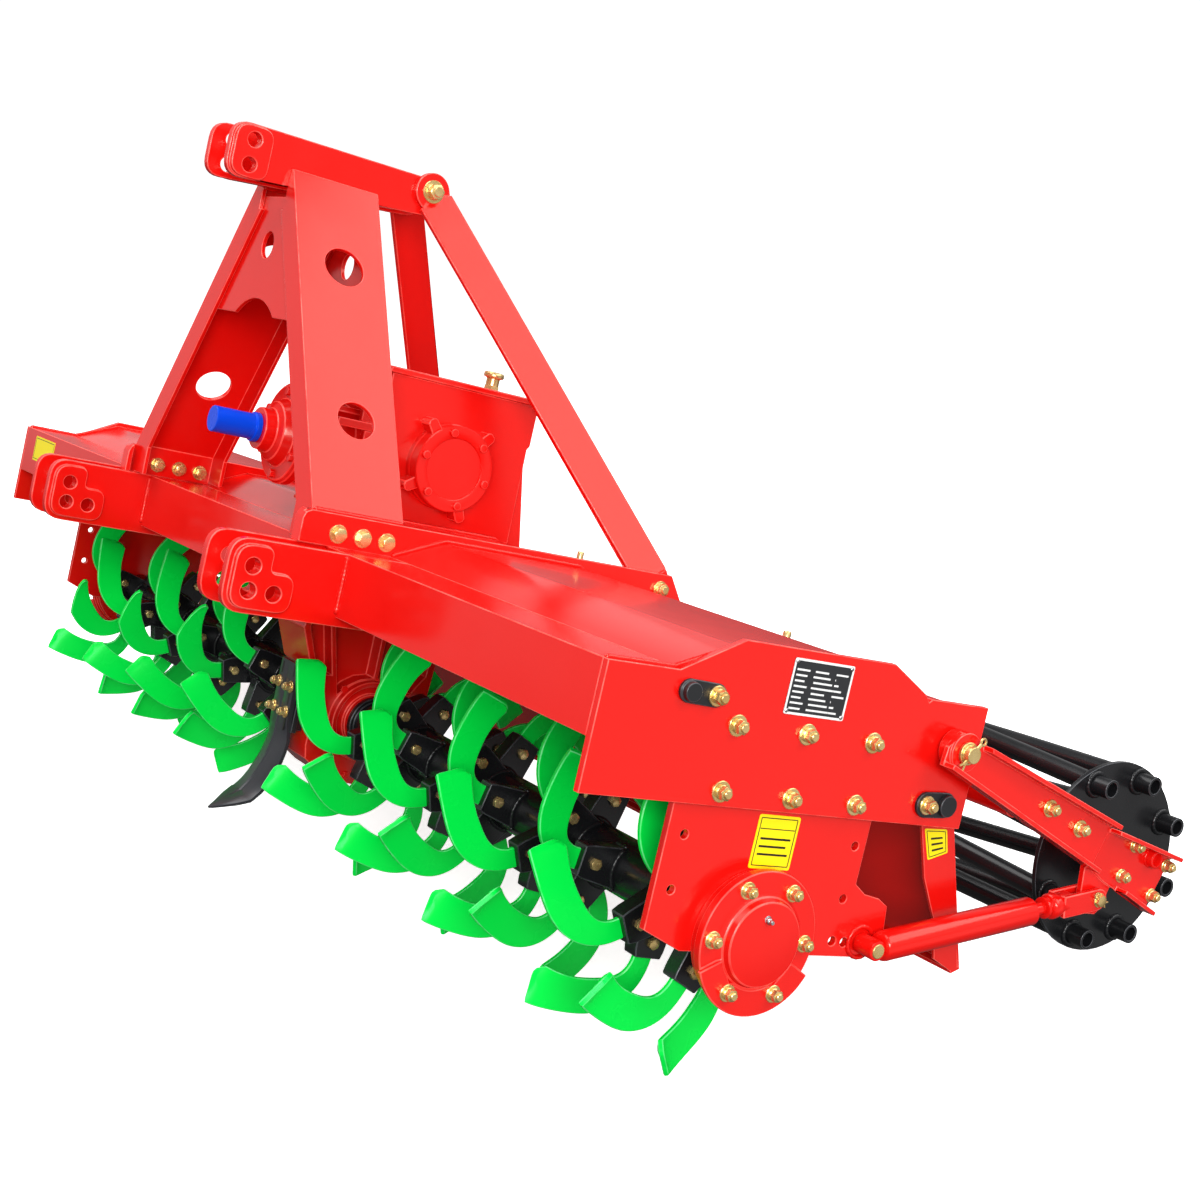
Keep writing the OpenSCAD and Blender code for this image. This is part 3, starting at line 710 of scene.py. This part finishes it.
for sx, nm in ((1, "left"), (-1, "right")):
    S = Shape()
    lathe(S, FOOT, U, [(10.1, 62), (10.1, 314), (11.5, 316), (18.5, 316), (21.0, 315), (22.0, 312), (22.0, 19), (21.2, 16), (19, 14), (14, 13), (8, 13), (8, 60), (10.1, 62)], 48, closed=True)
    lathe(S, FOOT, X, [(11.0, -24), (14.0, -24), (15.0, -23), (15.0, 11.6), (14.4, 12.8), (13.0, 13.2), (11.0, 13.2)], 40, closed=True)
    make("strut_tube_" + nm, S if sx > 0 else mirrored(S), "strut_barrel_" + nm, RED, angle=40, replaces=["strut_barrel_" + nm])
    S = Shape()
    lathe(S, FOOT, U, [(0, 150), (9.6, 150), (9.6, 341), (14, 341.6), (16.4, 343), (17.0, 345.5), (16.2, 348), (14.8, 350), (14.8, 353), (17.5, 354.5), (19.6, 357), (20.0, 361), (19.6, 368), (18.6, 372), (17.6, 374), (17.2, 386), (0, 386)], 48)
    T = Shape()
    for x0, x1 in ((-19, -10.6), (8.6, 17)):
        loop = round_end(374, SL, 17.4)
        rings(T, [[FOOT + X * h + U * l + V * v for l, v in loop] for h in (x0, x1)])
    block = [(375, -16.5), (399, -16.5), (399, 16.5), (375, 16.5)]
    rings(T, [[FOOT + X * h + U * l + V * v for l, v in block] for h in (-11.5, 9.5)])
    make("strut_rod_bar_" + nm, S if sx > 0 else mirrored(S), "strut_rod_" + nm, RED, angle=40, replaces=["strut_rod_" + nm])
    make("strut_fork_" + nm, T if sx > 0 else mirrored(T), "strut_rod_" + nm, RED, bevel=1.8, seg=3)
for sx, nm in ((1, "left"), (-1, "right")):
    S = Shape()
    c = Vector((STRUT_X + 17, 655, 93))
    lathe(S, c - X * 36, X, [(0, 0), (9.5, 0), (9.5, 36.5), (0, 36.5)], 32)
    washer(S, c, X, 11.5, 1.8)
    hexa(S, c + X * 1.8, X, 17, 6, 0.4)
    cotter(S, c + X * 4 + U * 3, (0, 0.80, -0.42), 24, 1.7)
    make("fork_pin_" + nm, S if sx > 0 else mirrored(S), "strut_rod_" + nm, ZINC)

# ------------------------------------------------------------------ gearbox fittings
S = Shape()
for sg in (1, -1):
    lathe(S, (sg * 111.5, 20, 502), X * sg, [(0, 0), (81, 0), (81, 11), (79, 12.5), (79, 32), (80, 33.5), (80, 37.5), (78.5, 39), (59, 39), (57, 38), (56, 35.5), (0, 35.5)], 72)
make("side_covers", S, "frame", CAST, angle=30, replaces=["gearbox_side_covers"])
# Foot flange: closes the hood's opening round the gearbox and the drop case.
S = Shape()
prism(S, [(-150, 382.9), (-127.2, 392), (147, 392), (225, 352), (240, 352), (240, 344), (224, 344), (145, 384), (-128.6, 384), (-150, 375)], -133, 133)
make("gearbox_foot", S, "frame", CAST, bevel=1.4)
# Housing with an upright rear edge, and a back that flares to the foot.
S = Shape()
prism(S, [(-125, 382), (-125, 650), (192, 650), (192, 572), (187, 566), (190, 382)], -112, 112)
prism(S, [(180, 373), (180, 561), (186.5, 561), (228, 366), (228, 350)], -103, 103)
prism(S, [(-133, 650), (-133, 661), (200, 661), (200, 650)], -119, 119)
make("gearbox_case", S, "frame", CAST, bevel=2.4, seg=3, replaces=["gearbox_housing"])
S = Shape()
weld(S, [(134, -150, 379.6), (134, -128, 388.8), (134, 146, 388.8), (134, 224, 348.8), (134, 240, 348.8)], 3.6)
weld(S, [(0, 241, 348.8), (133, 241, 348.8)], 3.6)
make("foot_welds", both(S), "frame", RED, angle=60)
c = Vector((112, 20, 502))
gb = Shape()
for k in range(6):
    a = math.radians(-14 + 60 * k)
    for sg in (1, -1):
        q = Vector((sg * 150, 20 + 68 * math.cos(a), 502 + 68 * math.sin(a)))
        lathe(gb, q, X * sg, [(0, 0), (7.6, 0), (7.6, 6.4), (6.6, 7.6), (0, 7.9)], 24)
for k in range(8):
    a = math.radians(22.5 + 45 * k)
    hexa(gb, (87 * math.cos(a), -138.5, 498 + 87 * math.sin(a)), -Y, 15, 8, a)
for k in range(6):
    a = math.radians(30 + 60 * k)
    hexa(gb, (76 * math.cos(a), -263, 498 + 76 * math.sin(a)), -Y, 14, 8, a)
for k in range(6):
    a = math.radians(15 + 60 * k)
    for sx in (-1, 1):
        hexa(gb, (sx * 62, 8 + 98 * math.cos(a), -14 + 98 * math.sin(a)), X * sx, 13, 7, a)
make("case_bolts", gb, "frame", CAST, bevel=0.5)
S = Shape()
for deg in (47, 128, 209, 293):
    a = math.radians(deg)
    rad, tan = Vector((0, math.cos(a), math.sin(a))), Vector((0, -math.sin(a), math.cos(a)))
    q = [rad * 74 - tan * 11, rad * 98 - tan * 10, rad * 103 - tan * 5, rad * 103 + tan * 5, rad * 98 + tan * 10, rad * 74 + tan * 11]
    for sg in (1, -1):
        rings(S, [[Vector((sg * c.x, c.y, c.z)) + v + X * sg * h for v in q] for h in (-1, 31)])
for k in range(4):
    a = math.radians(45 + 90 * k)
    rad, tan = Vector((math.cos(a), 0, math.sin(a))), Vector((-math.sin(a), 0, math.cos(a)))
    o = Vector((0, -139, 498))
    q = [rad * 68 - tan * 7, rad * 96 - tan * 7, rad * 96 + tan * 7, rad * 68 + tan * 7]
    rings(S, [[o + v - Y * h for v in q] for h in (-2, 100)])
for sg in (1, -1):
    for (x0, x1), (y0, y1), (z0, z1) in (((84, 102), (-206, -124), (536, 551)), ((86, 98), (-160, -124), (551, 640)), ((84, 100), (-150, -124), (400, 536)), ((60, 92), (-250, -124), (436, 452))):
        loop = [(x0, y0), (x1, y0), (x1, y1), (x0, y1)]
        rings(S, [[Vector((sg * a, b, h)) for a, b in loop] for h in (z0, z1)])
make("case_lugs", S, "frame", CAST, bevel=2.0, seg=3)

S = Shape()
p = Vector((58, 112, 661))
hexa(S, p, Z, 27, 8)
lathe(S, p, Z, [(0, 6), (12.5, 6), (12.5, 21), (14.5, 22.5), (18.5, 23.5), (19.5, 26), (19.0, 31.5), (17.0, 33.5), (8, 34.2), (0, 34.4)], 40)
make("breather", S, "frame", ZINC, angle=50)

S = Shape()
ring = [(XI, 0, 0)]
p = Vector((XI + 47.0, -7, 35))
for sx in (1, -1):
    q = Vector((sx * p.x, p.y, p.z))
    lathe(S, q - X * sx * 8, X * sx, [(0, 0), (9, 0), (9, 6), (7, 7), (5, 8), (4.6, 12), (3.2, 13.2), (3.6, 16), (2.6, 18), (0, 18)], 24)
make("grease_nipples", S, "frame", STEEL, angle=50)

# ------------------------------------------------------------------ weld seams on the frame
S = Shape()
for xx in (454 + 53, 454 + 35, 454 - 34.4, 454 - 53.4):
    weld(S, [(xx, -337, 252), (xx, -337, 346)], 4.5)
weld(S, [(430.9, -222, 351), (430.9, -128, 390), (430.9, 146, 390), (430.9, 224, 350), (430.9, 345, 350)], 4.5)
weld(S, [(420, -370, 404), (420, -207, 404)], 4.5)
weld(S, [(1236.5, -333, 350), (1236.5, -224, 350), (1236.5, -128, 389), (1236.5, 146, 389), (1236.5, 224, 349), (1236.5, 344, 349)], 4.0)
for yy in (-362.5, -357.0):
    for z0, z1 in ((696, 900),):
        weld(S, [(93 + 0.651 * (905 - z0) - 12, yy, z0), (93 + 0.651 * (905 - z1) - 12, yy, z1)], 3.5)
weld(S, [(54.5, -372, 918), (54.5, -206, 931)], 4.0)
weld(S, [(XI + 1.0, 216 + 23 * math.cos(t), -4 + 23 * math.sin(t)) for t in np.linspace(0, 2 * math.pi, 41)], 3.5)
make("frame_welds", both(S), "frame", RED, angle=60)

S = Shape()
lathe(S, (HW + 21.5, 766, 165), X, [(10, 0), (14.5, 0), (14.5, 13), (13.6, 14), (10.8, 14), (10, 13), (10, 1)], 40, closed=True)
weld(S, [(HW + 22.3, 766 + 14.5 * math.cos(t), 165 + 14.5 * math.sin(t)) for t in np.linspace(0, 2 * math.pi, 33)], 2.2)
weld(S, [(HW + 23, 647, 214), (HW + 23, 621, 142)], 3.6)
make("arm_welds", both(S), "roller_arms", RED, angle=50)


# ------------------------------------------------------------------ labels, all blank
def sheet(S, corners, out, t, r=3.0, inset=0.0):
    """A thin plate on the quad corners (in order), rounded corners; t is not used."""
    q = [Vector(p) for p in corners]
    o = Vector(out).normalized()
    mid = sum(q, Vector()) / 4
    if inset:
        grown = []
        for i in range(4):
            e0, e1 = (q[i - 1] - q[i]).normalized(), (q[(i + 1) % 4] - q[i]).normalized()
            grown.append(q[i] + (e0 + e1) * inset)
        q = grown
    loop = []
    for i in range(4):
        e0, e1 = (q[i - 1] - q[i]).normalized(), (q[(i + 1) % 4] - q[i]).normalized()
        for k in range(5):
            s = k / 4
            loop.append(q[i] + e0 * r * (1 - s) ** 2 + e1 * r * s ** 2)
    return loop, o


def plate(S, corners, out, base, t, r=3.0, inset=0.0):
    loop, o = sheet(S, corners, out, t, r, inset)
    rings(S, [[p + o * base for p in loop], [p + o * (base + t) for p in loop]])


def border(S, corners, out, base, t, inset, width, r=3.0):
    a, o = sheet(S, corners, out, t, r, inset)
    b, o = sheet(S, corners, out, t, max(0.5, r - width), inset + width)
    rings(S, [[p + o * base for p in a], [p + o * (base + t) for p in a], [p + o * (base + t) for p in b], [p + o * base for p in b]], closed=True)


NAME = [(HW, -38, 388), (HW, 70, 388), (HW, 70, 311), (HW, -38, 311)]
S1, S2, S3 = Shape(), Shape(), Shape()
plate(S1, NAME, X, 0.0, 0.8, 3.0)
border(S2, NAME, X, 0.3, 0.8, 0.0, 3.2, 3.0)
for y, z in ((-33.5, 383.5), (65.5, 383.5), (65.5, 315.5), (-33.5, 315.5)):
    lathe(S3, (HW, y, z), X, [(0, 0.5), (3.2, 0.5), (3.2, 1.2), (2.4, 2.2), (1.2, 2.7), (0, 2.8)], 18)
for i in range(8):
    for y0, y1 in ((-31, -8 - 3 * (i % 3)), (2 - 2 * (i % 2), 26 + 5 * (i % 4)), (40, 62 - 7 * ((i * 3) % 4))):
        z = 374 - 7.6 * i
        plate(S2, [(HW, y0, z), (HW, y1, z), (HW, y1, z - 2.6), (HW, y0, z - 2.6)], X, 0.5, 0.4, 0.4)
make("nameplate", S1, "frame", PLATE)
make("nameplate_rim", S2, "frame", RIM)
make("nameplate_rivets", S3, "frame", STEEL, angle=60)

L1 = [(XI, -24, 169), (XI, 50, 169), (XI, 50, 93), (XI, -24, 93)]
S1, S2 = Shape(), Shape()
plate(S1, L1, X, 0.0, 0.5, 4.0)
border(S2, L1, X, 0.3, 0.45, 4.0, 1.3, 2.0)
plate(S2, [(XI, -18, 150), (XI, 44, 150), (XI, 44, 148.7), (XI, -18, 148.7)], X, 0.3, 0.45, 0.3)
for y0, y1, z in ((-14, 40, 137), (-14, 34, 126), (-14, 40, 115)):
    plate(S2, [(XI, y0, z), (XI, y1, z), (XI, y1, z - 3), (XI, y0, z - 3)], X, 0.3, 0.45, 0.5)
L3 = [(-1164, -336, 336), (-1020, -336, 336), (-1020, -336, 280), (-1164, -336, 280)]
plate(S1, L3, -Y, 0.0, 0.5, 4.0)
border(S2, L3, -Y, 0.3, 0.45, 4.0, 1.3, 2.0)
make("labels_frame", S1, "frame", YELLOW)
make("labels_frame_ink", S2, "frame", INK_AND_SLOT_SHADE)
S1, S2 = Shape(), Shape()
L2 = [(1210, 320, 163), (1210, 366, 165), (1210, 379, 129.5), (1210, 341, 116)]
plate(S1, L2, X, 0.0, 0.5, 3.0)
border(S2, L2, X, 0.3, 0.45, 3.0, 1.2, 2.0)
a, b, c, d = (Vector(q) for q in L2)
for t in (0.30, 0.50, 0.70):
    p0, p1 = a.lerp(d, t), b.lerp(c, t)
    q0, q1 = a.lerp(d, t + 0.07), b.lerp(c, t + 0.07)
    plate(S2, [p0.lerp(p1, 0.24), p0.lerp(p1, 0.78), q0.lerp(q1, 0.78), q0.lerp(q1, 0.24)], X, 0.3, 0.45, 0.3)
make("label_tailboard", S1, "tailboard", YELLOW)
make("label_tailboard_ink", S2, "tailboard", INK_AND_SLOT_SHADE)

# ------------------------------------------------------------------ floor, light, camera
bm = bmesh.new()
bmesh.ops.create_grid(bm, x_segments=1, y_segments=1, size=400)
me = bpy.data.meshes.new("floor")
bm.to_mesh(me)
bm.free()
floor = bpy.data.objects.new("floor", me)
bpy.context.scene.collection.objects.link(floor)
m, nt, b = new_mat("floor_pale")
nt.links.new(ramp(nt, noise(nt, tex(nt), 0.8, 2.0), (0.90, 0.90, 0.90), (0.92, 0.92, 0.92)), b.inputs["Base Color"])
b.inputs["Roughness"].default_value = 0.85
b.inputs["Specular IOR Level"].default_value = 0.1
b.inputs["Emission Color"].default_value = (1, 1, 1, 1)
b.inputs["Emission Strength"].default_value = 0.80
me.materials.append(m)
floor.visible_diffuse = False
floor.visible_glossy = False

world = bpy.data.worlds.new("studio")
bpy.context.scene.world = world
world.use_nodes = True
nt = world.node_tree
bg = nt.nodes["Background"]
sky = nt.nodes.new("ShaderNodeSeparateXYZ")
nt.links.new(nt.nodes.new("ShaderNodeTexCoord").outputs["Generated"], sky.inputs["Vector"])
height = span(nt, sky.outputs["Z"], -1.0, 1.0, 0.0, 1.0)


def bands(stops):
    r = nt.nodes.new("ShaderNodeValToRGB")
    el = r.color_ramp.elements
    el[0].position, el[0].color = stops[0][0], (stops[0][1],) * 3 + (1,)
    el[1].position, el[1].color = stops[-1][0], (stops[-1][1],) * 3 + (1,)
    for at, v in stops[1:-1]:
        el.new(at).color = (v, v, v, 1)
    nt.links.new(height, r.inputs["Fac"])
    return r.outputs["Color"]


# a dim room with a pale horizon and a bright floor on the near side; seen
# directly, the room is a plain white sweep
room = bands(((0.0, 0.10), (0.40, 0.12), (0.49, 0.15), (0.52, 0.55), (0.66, 0.60), (0.76, 0.30), (1.0, 0.26)))
near = bands(((0.16, 0.0), (0.30, 1.0), (0.46, 1.0), (0.50, 0.0)))
room = mix(nt, times(nt, near, span(nt, sky.outputs["X"], 0.30, 0.65, 0.0, 1.0)), room, (0.62, 0.62, 0.62))
nt.links.new(room, bg.inputs["Color"])
bg.inputs["Strength"].default_value = 1.0
sweep = nt.nodes.new("ShaderNodeBackground")
sweep.inputs["Color"].default_value = (1.06, 1.06, 1.06, 1)
seen = nt.nodes.new("ShaderNodeMixShader")
nt.links.new(nt.nodes.new("ShaderNodeLightPath").outputs["Is Camera Ray"], seen.inputs["Fac"])
nt.links.new(bg.outputs["Background"], seen.inputs[1])
nt.links.new(sweep.outputs["Background"], seen.inputs[2])
nt.links.new(seen.outputs["Shader"], nt.nodes["World Output"].inputs["Surface"])


def area(name, loc, target, size, power, colour=(1, 1, 1)):
    l = bpy.data.lights.new(name, "AREA")
    l.shape = "RECTANGLE"
    l.size, l.size_y = size
    l.energy = power
    l.color = colour
    o = bpy.data.objects.new(name, l)
    bpy.context.scene.collection.objects.link(o)
    o.location = loc
    o.rotation_euler = (Vector(target) - Vector(loc)).to_track_quat("-Z", "Y").to_euler()
    return o


area("key", (7.2, -3.7, 3.2), (0.2, 0, 0.5), (3.6, 2.8), 560)
area("side", (4.9, 4.3, 5.4), (0.2, 0.0, 0.6), (10.0, 4.5), 430)
area("top", (-0.5, -1.5, 7.0), (0, 0, 0.4), (8.0, 6.0), 560)

R = np.array([[0.54534399, 0.80781909, 0.22366996], [0.19353951, 0.1382794, -0.97129875], [-0.81556262, 0.57298091, -0.08093507]])
cam_data = bpy.data.cameras.new("camera")
cam_data.sensor_width = 36.0
cam_data.lens = 36.0 * 1809.2 / 1200.0
cam_data.clip_start, cam_data.clip_end = 0.05, 1000.0
cam = bpy.data.objects.new("camera", cam_data)
bpy.context.scene.collection.objects.link(cam)
axes = Matrix([TURN @ Vector(R[0]), TURN @ Vector(-R[1]), TURN @ Vector(-R[2])]).transposed()
cam.matrix_world = Matrix.Translation(TO_ROW @ Vector((3053.7, -1636.1, 597.9))) @ axes.to_4x4()
bpy.context.scene.camera = cam
bpy.context.scene.view_settings.view_transform = "Standard"
